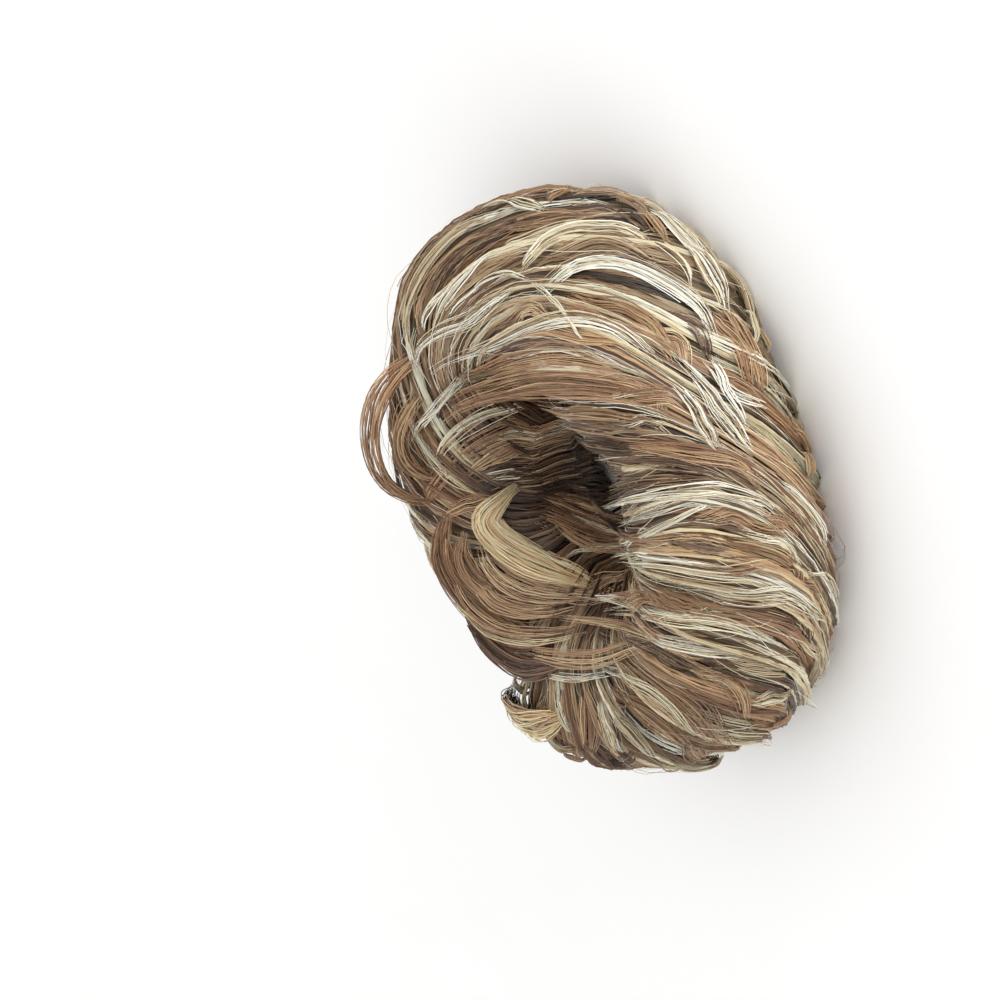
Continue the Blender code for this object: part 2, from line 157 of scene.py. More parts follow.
# Tresses that stand out on the pictured side. Their ways are points of the view, which is 1000 wide and high.
# A tress is laid on the ring where the view shows it. A taut one bridges the hollows under it.
# tone, warmth, width in millimetres, lift in millimetres, taut, way
TRESSES = (
    # top, from the outer edge inwards
    (0.28, 0.5, 3.4, 0.2, False, ((405, 335), (408, 300), (418, 270), (440, 240), (465, 221))),
    (0.64, 0.3, 3.2, 0.4, False, ((413, 358), (411, 330), (416, 300), (430, 272), (455, 243), (480, 225),
     (512, 212))),
    (0.36, 0.5, 3.6, 0.3, False, ((424, 342), (424, 318), (432, 295), (450, 268), (478, 243), (505, 230))),
    (0.84, 0.3, 2.4, 0.5, False, ((478, 219), (505, 209), (530, 209), (552, 212))),
    (0.38, 0.5, 4.2, 0.3, False, ((488, 230), (515, 230), (540, 225), (575, 222), (612, 222))),
    (0.42, 0.6, 3.6, 0.4, False, ((545, 207), (570, 199), (600, 194), (630, 198), (657, 212))),
    (0.22, 0.5, 3.0, 0.3, False, ((556, 212), (580, 213), (602, 213), (626, 218))),
    (0.68, 0.4, 2.4, 0.5, False, ((590, 194), (620, 198), (650, 209), (666, 222), (690, 240), (710, 264))),
    (0.5, 0.6, 3.0, 0.5, False, ((598, 198), (630, 210), (650, 229), (668, 248))),
    (0.26, 0.3, 3.0, 0.2, False, ((608, 217), (630, 222), (652, 236))),
    (0.86, 0.3, 4.6, 0.7, False, ((523, 272), (531, 261), (546, 248), (566, 239), (592, 233), (622, 235),
     (648, 248), (664, 266))),
    (0.84, 0.3, 2.6, 0.5, False, ((498, 255), (520, 243), (548, 234), (580, 227), (620, 228))),
    (0.44, 0.3, 4.6, 0.3, False, ((528, 274), (558, 259), (598, 246), (636, 254), (660, 268))),
    (0.92, 0.3, 4.6, 0.7, False, ((636, 200), (643, 205), (663, 228), (687, 252), (703, 272), (715, 292),
     (726, 318))),
    (0.82, 0.3, 3.0, 0.5, False, ((665, 216), (690, 236), (715, 266), (734, 291), (744, 320), (753, 350))),
    (0.48, 0.8, 4.0, 0.4, False, ((716, 300), (730, 325), (744, 350), (756, 378), (765, 400))),
    (0.9, 0.3, 1.6, 0.9, True, ((640, 240), (660, 250), (677, 260), (688, 275), (690, 294))),
    (0.14, 0.5, 4.6, 0.2, False, ((598, 262), (630, 264), (656, 274), (684, 288))),
    (0.6, 0.5, 3.0, 0.4, False, ((733, 280), (748, 303), (757, 330), (763, 360))),
    # white wisps at the upper left
    (0.95, 0.0, 1.6, 1.2, True, ((432, 338), (438, 315), (450, 295), (470, 275), (490, 258), (512, 246))),
    (0.92, 0.0, 1.4, 1.0, True, ((427, 345), (430, 318), (440, 298), (458, 280), (482, 262))),
    (0.92, 0.1, 1.3, 1.3, True, ((446, 320), (460, 300), (477, 285), (502, 270))),
    (0.94, 0.0, 1.3, 1.0, True, ((470, 300), (490, 284), (515, 276), (540, 282))),
    (0.48, 0.3, 4.0, 0.3, False, ((440, 330), (455, 305), (480, 285), (510, 265), (535, 255))),
    (0.95, 0.2, 3.2, 1.0, True, ((413, 380), (420, 346), (441, 328), (471, 317), (489, 303), (507, 292),
     (525, 277))),
    (0.9, 0.3, 1.2, 0.6, True, ((523, 276), (546, 289), (566, 311), (581, 336), (600, 352))),
    (0.95, 0.1, 4.8, 1.0, False, ((515, 298), (543, 289), (564, 277), (590, 269), (620, 271), (650, 282),
     (680, 297), (701, 313), (713, 336), (720, 362))),
    (0.56, 0.9, 5.0, 0.5, False, ((552, 298), (575, 300), (602, 301), (630, 307), (650, 323), (667, 349),
     (677, 374))),
    (0.62, 0.8, 3.4, 0.6, False, ((478, 337), (500, 319), (522, 312), (546, 315), (572, 325))),
    (0.93, 0.3, 3.6, 0.9, True, ((420, 384), (441, 361), (475, 347), (507, 333), (535, 321), (562, 318),
     (592, 323), (628, 339), (650, 357), (668, 380))),
    (0.58, 0.9, 4.0, 0.6, False, ((480, 350), (515, 333), (555, 334), (592, 344), (624, 352), (645, 370))),
    (0.84, 0.1, 2.2, 0.8, False, ((488, 352), (530, 352), (570, 356), (610, 360), (645, 372), (672, 392))),
    (0.5, 0.8, 4.0, 0.5, False, ((490, 362), (530, 352), (575, 352), (610, 360), (648, 378))),
    (0.52, 0.95, 4.0, 0.6, False, ((697, 306), (716, 325), (735, 349), (746, 372), (755, 395))),
    (0.6, 0.8, 4.0, 0.5, False, ((640, 312), (660, 330), (680, 353), (692, 376))),
    (0.22, 0.5, 3.4, 0.0, True, ((660, 312), (688, 323), (704, 342), (714, 366))),
    # arcs that bridge the hole's upper side
    (0.46, 0.8, 5.0, 0.8, True, ((452, 385), (475, 368), (510, 358), (560, 356), (610, 366), (655, 386),
     (695, 412))),
    (0.44, 0.8, 5.0, 0.8, True, ((445, 405), (470, 388), (505, 376), (550, 371), (600, 377), (650, 392),
     (700, 420))),
    (0.48, 0.8, 5.0, 0.8, True, ((436, 428), (460, 405), (495, 391), (540, 385), (592, 391), (642, 404),
     (690, 424))),
    (0.4, 0.3, 4.0, 0.9, True, ((440, 395), (462, 378), (492, 368), (520, 366))),
    (0.86, 0.4, 2.4, 0.7, False, ((415, 360), (417, 386), (419, 408), (417, 440))),
    (0.95, 0.0, 2.2, 1.4, True, ((466, 358), (451, 382), (435, 408), (421, 428), (414, 444))),
    (0.94, 0.0, 1.2, 1.6, True, ((476, 352), (458, 378), (440, 398), (424, 412))),
    (0.14, 0.5, 4.0, 0.2, False, ((460, 392), (449, 405), (440, 422))),
    (0.9, 0.5, 3.4, 1.3, True, ((437, 466), (443, 447), (459, 427), (480, 413), (505, 405), (535, 400),
     (562, 403))),
    (0.88, 0.1, 2.8, 1.3, True, ((480, 440), (500, 427), (530, 418), (562, 414), (600, 412), (638, 417),
     (664, 426))),
    (0.5, 0.7, 3.6, 1.0, True, ((444, 472), (464, 446), (490, 428), (522, 414), (570, 405), (620, 408),
     (660, 418))),
    (0.36, 0.6, 3.6, 0.9, True, ((448, 480), (472, 455), (500, 438), (540, 425), (590, 424), (640, 430),
     (690, 442))),
    (0.58, 0.8, 3.6, 1.1, True, ((458, 482), (485, 460), (508, 447), (535, 431), (562, 424))),
    # the near-black tresses that follow cross the hollow of the hole: dark hair, charted darker still, partly
    # painted shade
    (0.22, 0.6, 4.4, 0.7, True, ((450, 492), (480, 471), (520, 452), (562, 440), (605, 438), (650, 444))),
    (0.15, 0.5, 4.4, 0.4, True, ((455, 500), (490, 484), (530, 468), (575, 456), (620, 452))),
    (0.8, 0.1, 0.9, 1.2, True, ((480, 474), (515, 466), (556, 452))),
    (0.8, 0.1, 0.8, 1.2, True, ((484, 480), (520, 474), (550, 462))),
    (0.1, 0.4, 5.0, 0.0, True, ((470, 505), (510, 490), (555, 478), (600, 470), (640, 466))),
    (0.42, 0.8, 3.6, 0.8, False, ((428, 505), (438, 482), (450, 462))),
    (0.46, 0.8, 3.6, 0.8, True, ((436, 524), (460, 507), (488, 499), (520, 497))),
    # front and right of the hole
    (0.97, 0.0, 3.0, 1.0, True, ((650, 370), (688, 398), (704, 422), (716, 438), (722, 455))),
    (0.97, 0.0, 3.6, 1.1, True, ((672, 352), (704, 388), (722, 412), (740, 436), (757, 456))),
    (0.93, 0.0, 2.0, 1.5, True, ((700, 362), (722, 384), (746, 399), (772, 412))),
    (0.95, 0.0, 1.6, 1.7, True, ((712, 352), (720, 376), (732, 402), (752, 430))),
    (0.48, 0.8, 4.4, 0.5, False, ((570, 386), (620, 387), (660, 397), (692, 414))),
    (0.82, 0.6, 2.6, 0.9, False, ((596, 398), (640, 401), (670, 409), (702, 427))),
    (0.86, 0.5, 2.2, 1.0, False, ((636, 427), (665, 424), (695, 436), (727, 443), (755, 460), (777, 480))),
    (0.5, 0.85, 5.0, 0.6, True, ((596, 440), (650, 440), (700, 450), (740, 466), (767, 492))),
    (0.2, 0.5, 5.0, 0.3, True, ((592, 456), (640, 456), (690, 463), (732, 480))),
    (0.36, 0.3, 3.0, 0.2, True, ((580, 488), (640, 471), (690, 475), (740, 486), (777, 502))),
    (0.22, 0.5, 3.6, 0.1, True, ((578, 508), (640, 489), (700, 485), (752, 493))),
    (0.88, 0.0, 2.8, 0.8, True, ((584, 532), (610, 510), (645, 498), (695, 492), (735, 496), (775, 512),
     (803, 536))),
    (0.84, 0.0, 2.0, 1.0, True, ((604, 528), (650, 521), (690, 509), (732, 501))),
    (0.88, 0.0, 1.2, 1.2, False, ((620, 538), (655, 528), (700, 512), (740, 506))),
    (0.52, 0.8, 5.0, 0.6, False, ((688, 522), (730, 516), (770, 522), (802, 544))),
    (0.24, 0.3, 3.2, 0.3, True, ((598, 532), (640, 534), (700, 546), (742, 554))),
    (0.58, 0.8, 4.0, 0.5, False, ((698, 532), (740, 536), (780, 551), (802, 573))),
    (0.93, 0.3, 2.4, 1.0, True, ((596, 556), (624, 549), (648, 541), (668, 534))),
    (0.92, 0.4, 4.0, 0.9, True, ((765, 470), (778, 480), (791, 492), (806, 511), (818, 532), (823, 550))),
    (0.86, 0.4, 2.6, 0.9, False, ((722, 525), (760, 536), (790, 551), (815, 571), (828, 594))),
    (0.4, 0.8, 4.0, 0.4, False, ((768, 500), (794, 516), (811, 536), (819, 558))),
    (0.52, 0.7, 3.6, 0.5, True, ((640, 548), (700, 560), (742, 563), (785, 562))),
    (0.9, 0.3, 5.0, 0.7, True, ((622, 562), (650, 565), (680, 570), (720, 577), (760, 581), (800, 591),
     (826, 608))),
    (0.86, 0.3, 4.0, 0.8, False, ((676, 588), (720, 590), (760, 592), (800, 602), (822, 620))),
    (0.36, 0.5, 4.0, 0.5, False, ((778, 565), (804, 578), (821, 594))),
    (0.26, 0.6, 5.0, 0.4, False, ((728, 601), (770, 609), (800, 626), (818, 648))),
    (0.6, 0.8, 3.2, 0.7, False, ((785, 415), (797, 445), (803, 478))),
    # below the hole
    (0.48, 0.6, 5.0, 0.6, False, ((548, 590), (585, 601), (622, 601), (655, 598))),
    (0.48, 0.8, 5.0, 0.6, False, ((640, 590), (670, 596), (694, 606), (706, 626))),
    (0.93, 0.3, 5.0, 0.9, True, ((600, 613), (640, 612), (680, 616), (712, 620), (745, 630), (782, 648))),
    (0.24, 0.3, 5.0, 0.3, False, ((594, 628), (640, 640), (680, 655), (714, 668))),
    (0.86, 0.2, 3.0, 0.8, False, ((632, 625), (678, 640), (720, 650), (764, 656))),
    (0.42, 0.6, 7.0, 0.5, False, ((594, 642), (638, 660), (680, 686), (712, 722), (727, 748))),
    (0.87, 0.3, 3.2, 0.8, False, ((600, 664), (650, 684), (690, 718), (722, 754))),
    (0.57, 0.85, 4.0, 0.6, False, ((676, 652), (710, 669), (736, 690), (747, 715))),
    (0.7, 0.2, 4.0, 0.6, False, ((718, 655), (758, 664), (794, 674))),
    (0.74, 0.2, 3.2, 0.6, False, ((738, 702), (770, 692), (798, 678))),
    (0.44, 0.8, 3.0, 0.5, False, ((742, 720), (768, 720), (790, 706))),
    (0.46, 0.7, 6.0, 0.5, False, ((612, 684), (650, 706), (682, 732), (702, 758))),
    (0.8, 0.2, 4.0, 0.7, False, ((606, 694), (638, 728), (664, 758))),
    (0.9, 0.0, 3.0, 0.8, False, ((602, 694), (616, 726), (626, 752))),
    (0.7, 0.3, 3.0, 0.6, False, ((655, 757), (696, 762), (732, 752))),
    (0.72, 0.3, 3.0, 0.6, False, ((795, 632), (808, 655), (803, 690))),
    (0.52, 0.4, 4.0, 0.5, False, ((548, 684), (546, 718), (562, 748))),
    (0.48, 0.6, 5.0, 0.5, False, ((566, 682), (572, 718), (586, 752))),
    (0.9, 0.0, 1.5, 0.9, False, ((560, 688), (566, 713), (577, 732))),
    (0.42, 0.6, 5.0, 0.5, False, ((588, 682), (592, 718), (592, 756))),
    (0.72, 0.5, 3.6, 0.7, False, ((600, 690), (612, 724), (621, 752))),
    (0.2, 0.4, 3.0, 0.5, False, ((606, 756), (622, 757), (636, 748))),
    (0.74, 0.8, 4.0, 0.7, False, ((522, 716), (538, 731), (560, 747), (585, 757))),
    (0.86, 0.4, 2.6, 0.8, False, ((530, 706), (548, 726), (572, 744))),
    (0.92, 0.0, 1.8, 1.3, True, ((515, 658), (550, 672), (585, 678), (625, 668))),
    (0.8, 0.1, 1.0, 1.4, True, ((520, 652), (560, 668), (600, 668), (640, 655))),
    (0.78, 0.9, 3.6, 0.6, False, ((500, 712), (515, 728), (540, 745), (565, 756))),
    (0.86, 0.6, 2.6, 0.8, False, ((505, 703), (525, 722), (552, 742))),
    # between the blond curl and the hole's right side
    (0.24, 0.7, 3.6, 0.3, True, ((530, 493), (560, 500), (595, 516), (630, 530), (670, 535))),
    (0.32, 0.7, 4.0, -0.3, True, ((525, 499), (549, 509), (580, 527), (620, 541), (662, 546))),
    (0.4, 0.8, 3.6, -0.4, True, ((522, 508), (543, 522), (570, 538), (605, 553), (650, 557))),
    (0.54, 0.8, 3.0, -0.4, True, ((540, 528), (556, 540), (576, 554), (605, 567), (650, 571))),
    (0.44, 0.7, 4.0, -0.6, True, ((540, 580), (566, 592), (600, 600), (640, 600))),
    (0.84, 0.4, 1.6, 1.1, True, ((560, 520), (590, 536), (622, 544), (660, 541))),
    (0.82, 0.3, 1.2, 1.1, True, ((525, 512), (550, 530), (585, 546), (620, 552))),
    # between the blond curl and the crescents
    (0.54, 0.7, 4.0, -0.2, True, ((482, 538), (502, 562), (535, 580), (575, 591), (612, 588))),
    (0.62, 0.6, 3.0, 1.1, True, ((478, 535), (490, 566), (520, 591), (560, 599), (602, 594))),
    (0.58, 0.7, 4.0, 0.9, True, ((470, 545), (480, 580), (505, 605), (545, 613), (592, 604))),
    (0.36, 0.7, 3.0, 1.3, True, ((452, 552), (462, 586), (485, 613), (520, 629), (570, 630), (606, 613))),
    (0.7, 0.5, 1.4, 1.8, True, ((448, 575), (465, 606), (500, 633), (545, 641), (592, 633))),
    (0.54, 0.6, 4.0, 0.3, True, ((508, 640), (545, 655), (595, 660), (640, 646), (680, 640))),
    # over the seam between the hole's two sides
    (0.8, 0.4, 2.6, 0.9, True, ((548, 566), (600, 562), (650, 557), (700, 563), (750, 575))),
    (0.5, 0.8, 3.2, 0.8, True, ((545, 498), (590, 519), (640, 532), (700, 538), (750, 552))),
    (0.46, 0.8, 3.2, 0.8, True, ((580, 603), (630, 599), (680, 606), (735, 612))),
    (0.88, 0.3, 2.2, 0.9, True, ((565, 596), (615, 602), (665, 612), (715, 620), (750, 630))),
    (0.6, 0.6, 2.6, 0.8, True, ((550, 615), (600, 624), (650, 634), (700, 648))),
    # this near-black tress crosses the hollow of the hole: dark hair, charted darker still, partly painted
    # shade
    (0.18, 0.4, 3.6, 0.3, True, ((540, 482), (600, 487), (650, 484), (700, 480))),
)
TRESS_PARTING = 450          # tresses that start above this height of the view are the upper piece
TRESS_PITCH = 0.15           # millimetres of a tress's width for each strand
TRESS_LEAST = 4              # strands of the thinnest tress
TRESS_SPREAD = 1.3           # how much wider a tress is laid than charted, as its edges are thin
TRESS_THICKNESS = 1.2        # millimetres
TRESS_RISE = 0.6             # how far all tresses lie over the locks, in millimetres
STRAY_TONES = (0.34, 0.46, 0.56, 0.66)   # tones of the stray strands in a tress or curl
LONG_WAY = 40.0              # millimetres; strands of a shorter way wander less

# How strands lie in a tress and in a curl.
# ragged: share of the way by which their ends differ. hollow: share of the section left free in its middle.
# close and tip: share of the way over which the section closes, and what is left of it at the end.
# wander, tuck and strand: millimetres that they stray, that their ends tuck in, and of their width.
# sink: share of the way over which they tuck in. mix: how far tones differ. strays: share of stray strands.
TRESS_LOOK = {"steps": 13, "ragged": 0.34, "hollow": 0.0, "close": 0.45, "tip": 0.4, "wander": 0.32,
              "tuck": 1.8, "sink": 0.3, "strand": (0.15, 0.29), "mix": 0.10, "strays": 0.24}
CURL_LOOK = {"steps": 20, "ragged": 0.22, "hollow": 0.1, "close": 0.35, "tip": 0.25,
             "tuck": 0.0, "sink": 0.12, "strand": (0.20, 0.36), "mix": 0.10, "strays": 0.10}
BUNDLE_TIPS = (0.25, 0.3)    # share of the way over which a strand thins out, and its width at the tip
WARMTH_SPREAD = 0.1

# How a way of the view is laid on the ring
WAY_STEPS = 60
INWARD_REACH = 0.3           # share of the way to the ring's middle that a point beside the ring may move in
INWARD_STEP = 0.01           # the same share, for each try
DEPTH_JUMP = 0.004           # metres between neighbouring steps, where a way leaves one side of the hole
SHORTEST_PART = 9            # steps
WAY_EXTRA = 9                # steps that a part of a way goes on past the side of the hole
TANGENT_STEPS = 5            # steps that give the direction in which it goes on
DEPTH_SMOOTHING = 7          # steps to either side over which depths are averaged
WAY_SMOOTHING = 3            # the same for points
LIE_SMOOTHING = 9            # the same for the directions out of the ring

# Camera: its angle above the floor, how far it is rolled, and where the ring's middle is in its view
CAMERA_RISE = 30.0           # degrees
CAMERA_ROLL = -114.8         # degrees
CAMERA_AWAY = 1.2            # metres
CAMERA_LENS = 181.4          # millimetres
SENSOR = 36.0                # millimetres
VIEW_SIZE = 1000.0
RING_IN_VIEW = (25.95, 4.52)  # millimetres right of and above the middle of the view
RING_AT = (609, 481)         # the same place, as the tresses' ways are given

# Lights: name, watts, size, direction from the ring as (right, up, back) in the view, and metres away
LIGHTS = (("key", 10.0, 0.7, (0.35, 0.75, 1.0), 1.0), ("side", 3.0, 0.8, (0.9, -0.2, 0.5), 1.0))
FLOOR_HALF = 3.0             # metres

# Loose curls: points on their way as (u, v, height over the bare tube), as in the solids
CURLS = {
    "curl_blond": {
        "way": ((70, 160, 3.0), (76, 146, 5.0), (82, 136, 5.5), (92, 137, 5.0), (104, 143, 4.0),
                (118, 151, 3.0), (134, 158, 2.6), (150, 160, 2.4)),
        "width": 7.0, "thick": 3.6, "spread": 1.1, "strands": 150, "loose": 0.3,
        "tone": 0.78, "warmth": 0.95, "slot": "hair_blond"},
    "curl_brown_inner": {
        "way": ((84, 120, 4.0), (92, 112, 6.0), (102, 112, 6.5), (114, 118, 5.5), (126, 128, 4.0),
                (138, 138, 2.6)),
        "width": 5.0, "thick": 3.4, "spread": 1.6, "strands": 110, "loose": 0.5,
        "tone": 0.38, "warmth": 0.6, "slot": "hair_brown"},
    "curl_brown_outer": {
        "way": ((76, 112, 2.6), (84, 104, 5.5), (94, 98, 6.5), (106, 98, 6.0), (120, 104, 5.0),
                (134, 114, 4.0), (148, 126, 2.6)),
        "width": 6.0, "thick": 4.0, "spread": 1.5, "strands": 140, "loose": 0.45,
        "tone": 0.34, "warmth": 0.8, "slot": "hair_brown"},
    "curl_dark_lower": {
        "way": ((100, 84, 2.6), (110, 84, 5.0), (122, 90, 6.0), (136, 98, 5.0), (150, 108, 4.0),
                (164, 118, 2.4)),
        "width": 5.0, "thick": 3.6, "spread": 1.3, "strands": 110, "loose": 0.35,
        "tone": 0.24, "warmth": 0.7, "slot": "hair_brown"},
    "curl_golden_tail": {
        "way": ((158, 86, -1.0), (150, 78, 3.0), (142, 71, 5.5), (135, 65, 6.5), (129, 57, 5.5),
                (125, 48, 2.5)),
        "width": 4.6, "thick": 2.8, "spread": 1.9, "strands": 80, "loose": 0.8,
        "tone": 0.76, "warmth": 0.95, "slot": "hair_blond"},
    "curl_side_loop": {
        "way": ((20, 84, -2.0), (26, 84, 5.0), (36, 86, 12.0), (48, 89, 14.5), (60, 92, 12.5), (69, 96, 7.0),
                (74, 100, -1.0)),
        "width": 3.6, "thick": 2.6, "spread": 1.8, "strands": 46, "loose": 0.7,
        "tone": 0.46, "warmth": 0.9, "slot": "hair_brown"},
    "curl_side_wisp": {
        "way": ((30, 96, -1.5), (37, 96, 5.0), (46, 97, 9.0), (56, 100, 8.0), (63, 104, 3.5),
                (66, 107, -1.5)),
        "width": 2.6, "thick": 2.0, "spread": 2.2, "strands": 24, "loose": 0.7,
        "tone": 0.5, "warmth": 0.8, "slot": "hair_brown"},
}
CURL_WAY_STEPS = 80
CURL_SMOOTHING = 4           # steps to either side that are averaged

# Single hairs over the locks
FLYAWAYS = 600
FLYAWAY_STEPS = 11
FLYAWAY_WIDTH = (0.10, 0.18)
FLYAWAY_DRIFT = 0.9          # locks that a hair crosses on its way
FLYAWAY_START = (-30, 190)   # degrees round the tube
FLYAWAY_TURN = (50, 130)
FLYAWAY_RISE = (2.0, 0.7)    # shape and scale of how high the hairs stand, in millimetres
FLYAWAY_ARCH = 0.7           # under 1, so that they rise fast at both ends
FLYAWAY_SINK = 0.4           # how deep their ends lie in the locks, in millimetres
FLYAWAY_WANDER = 0.12        # locks
FLYAWAY_TIPS = (0.2, 0.5)
FLYAWAY_TONES = (0.45, 0.62, 0.86, 0.95)
FLYAWAY_WARMTH = (0.1, 0.8)

# Under-hair: a closed surface under the strands, so that no gap shows the inside of the ring
CORE_DEPTH = 1.3
CORE_CLEARANCE = 0.25        # how far it keeps off the floor and the band's seat
CORE_COLUMNS_PER_LOCK = 6
CORE_ROWS = 72

# Each strand has a strip of its own on the map that its finish may be kept on
MAP_ROWS = 14
STRIP_FILL = (0.9, 0.96)     # share of its strip's width and height that a strand takes
STRAND_SIDES = 3
LOCK_SHADING = 0.7           # how far a strand's normals turn to the lock's own


def smooth(t):
    """0 below 0 and 1 above 1, with a smooth step between."""
    t = np.clip(t, 0.0, 1.0)
    return t * t * (3 - 2 * t)


def through(places, values, at):
    """Smooth curve through the values, read at an array of places; the places run downwards."""
    places, values, at = (np.asarray(a, float) for a in (places, values, at))
    last = len(places) - 1
    low = np.maximum(np.arange(last + 1) - 1, 0)
    high = np.minimum(np.arange(last + 1) + 1, last)
    many = values.ndim > 1
    step = places[high] - places[low]
    slopes = (values[high] - values[low]) / (step[:, None] if many else step)
    k = np.clip(np.searchsorted(-places, -at, side="right") - 1, 0, last - 1)
    span = places[k + 1] - places[k]
    t = (at - places[k]) / span
    if many:
        span, t = span[..., None], t[..., None]
    start = values[k] * (1 + 2 * t) * (1 - t) ** 2 + slopes[k] * span * t * (1 - t) ** 2
    end = values[k + 1] * (3 - 2 * t) * t ** 2 + slopes[k + 1] * span * (t - 1) * t ** 2
    return start + end


def all_locks():
    """The pictured locks, then the far ones, evenly spaced on to the first lock again."""
    rows = list(LOCKS)
    last, first = LOCKS[-1], LOCKS[0]
    places = len(LOCK_PLACES)
    for step in range(1, FAR_LOCKS + 1):
        share = step / (FAR_LOCKS + 1)
        angles = [a + (b - 360 - a) * share for a, b in zip(last[:places], first[:places])]
        proud = FAR_PROUD[step % len(FAR_PROUD)]
        rows.append((*angles, proud, *FAR_TONES[step % len(FAR_TONES)]))
    return rows


class LockField:
    """Where every lock runs, all round the tube. q is a lock coordinate, v the angle over the tube."""

    under_places = (-45, -90, -135, -180)
    under_shares = (0.36, 0.62, 0.84, 1.0)

    def __init__(self):
        self.rows = all_locks()
        self.count = len(self.rows)
        places = (180, *LOCK_PLACES, *self.under_places)
        self.vs = np.arange(180, -181, -1.0)
        tracks = [through(places, self.track(i), self.vs) for i in range(self.count)]
        self.angles = np.array([*tracks, tracks[0] - 360])
        ends = (*self.rows, self.rows[0])
        self.proud = np.array([row[-3] for row in ends])
        self.tones = [row[-2:] for row in self.rows]

    def hole_angle(self, index):
        return self.rows[index % self.count][0] - 360 * (index // self.count)

    def track(self, index):
        angles = self.rows[index][:len(LOCK_PLACES)]
        meets = self.hole_angle(index + LOCKS_PER_TURN)
        under = [angles[-1] + (meets - angles[-1]) * share for share in self.under_shares]
        return (angles[0], *angles, *under)

    def settle(self, q, v):
        """The same place with v from 180 down to -180 and q from 0 to the count, and the turns taken off."""
        past = np.floor((180 - v) / 360)
        q = q + LOCKS_PER_TURN * past
        v = v + 360 * past
        turns = np.floor(q / self.count)
        return q - self.count * turns, v, turns

    def angle(self, q, v):
        q, v, turns = self.settle(*np.broadcast_arrays(q, v))
        row = np.clip(180 - v, 0, 359.999)
        i, r = q.astype(int), row.astype(int)
        f, g = q - i, row - r
        near = self.angles[i, r] * (1 - g) + self.angles[i, r + 1] * g
        following = self.angles[i + 1, r] * (1 - g) + self.angles[i + 1, r + 1] * g
        return near * (1 - f) + following * f - 360 * turns

    def height(self, q, v):
        """How proud the locks stand: a ridge at each whole q, pulled tight in the hole."""
        q, v, _ = self.settle(*np.broadcast_arrays(q, v))
        i = q.astype(int)
        f = q - i
        own = self.proud[i] * np.maximum(0, 1 - (2 * f) ** 2)
        following = self.proud[i + 1] * np.maximum(0, 1 - (2 - 2 * f) ** 2)
        return (own + following) * relief_share(v)


def relief_share(v):
    """Share of the locks' relief that is left: less in the hole, where they are pulled tight."""
    inside = np.maximum(0.0, -np.cos(np.radians(v)))
    return 1.0 - (1.0 - HOLE_RELIEF) * inside ** 2


def painted_hole_shade(v):
    """Share of a strand's tone that is left as it goes into the hole, darkened as painted shade."""
    return 1 - HOLE_PAINTED_SHADE * smooth((-np.cos(np.radians(v)) - HOLE_SHADE_FROM) / HOLE_SHADE_OVER)


def tube_point(u, v):
    """Points on the tube under the locks, and the directions out of it, in millimetres."""
    u, v = np.broadcast_arrays(np.radians(u), np.radians(v))
    cos_u, sin_u, cos_v, sin_v = np.cos(u), np.sin(u), np.cos(v), np.sin(v)
    across = np.where(cos_v > 0, TUBE_OUT, TUBE_IN)
    up = np.where(sin_v > 0, TUBE_TOP, TUBE_FLOOR)
    out = np.stack([cos_v / across * cos_u, cos_v / across * sin_u, sin_v / up], -1)
    out /= np.linalg.norm(out, axis=-1, keepdims=True)
    foot = (cos_v < 0) & (sin_v < 0)
    cos_v = np.where(foot, -np.abs(cos_v) ** FOOT_SQUARENESS, cos_v)
    sin_v = np.where(foot, -np.abs(sin_v) ** FOOT_SQUARENESS, sin_v)
    radius = RING_RADIUS + across * cos_v
    return np.stack([radius * cos_u, radius * sin_u, MIDDLE_Z + up * sin_v], -1), out


def swell(u, v):
    """Height that the hollows and bumps add."""
    height = 0.0
    radius = RING_RADIUS + TUBE_OUT * np.cos(np.radians(v))
    for at_u, at_v, size, reach_u, reach_v in SWELLS:
        turn = (u - at_u + 180) % 360 - 180
        tilt = (v - at_v + 180) % 360 - 180
        round_mm = np.radians(turn) * radius / reach_u
        over_mm = np.radians(tilt) * TUBE_OUT / reach_v
        height = height + size * np.exp(-(round_mm ** 2 + over_mm ** 2) / 2)
    return height


def keep_clear(points, radii, passes):
    """Lift strands off the floor, and lead them past the elastic loop.

    They pass over it, behind it, on its nearer side, or outermost, over those that pass over it.
    """
    points[..., 2] = np.maximum(points[..., 2], radii + FLOOR_CLEARANCE)
    reach = np.hypot(points[..., 0], points[..., 1])
    off_middle = np.abs(points[..., 2] - MIDDLE_Z)
    in_hole = reach < RING_RADIUS - TUBE_IN / 2
    inside = BAND_INSIDE - BAND_CLEARANCE - radii
    if passes in ("over", "outermost"):
        near = smooth((SEAT_HALF_WIDTH + BAND_LEAD - off_middle) / BAND_LEAD)
        wanted = np.minimum(reach, reach + (inside - reach) * near)
        if passes == "outermost":
            wanted = wanted - OVER_WISPS * near
    else:
        wanted = np.where(off_middle < SEAT_HALF_WIDTH, np.maximum(reach, SEAT_RADIUS + radii), reach)
        if passes == "nearer":
            wanted = np.where(reach < (BAND_INSIDE + SEAT_RADIUS) / 2, inside, wanted)
            level = off_middle < SEAT_HALF_WIDTH + BAND_CLEARANCE
            wanted = np.where(level, wanted, np.maximum(reach, inside))
    wanted = np.where(in_hole, wanted, reach)
    points[..., :2] *= (wanted / reach)[..., None]
    return points


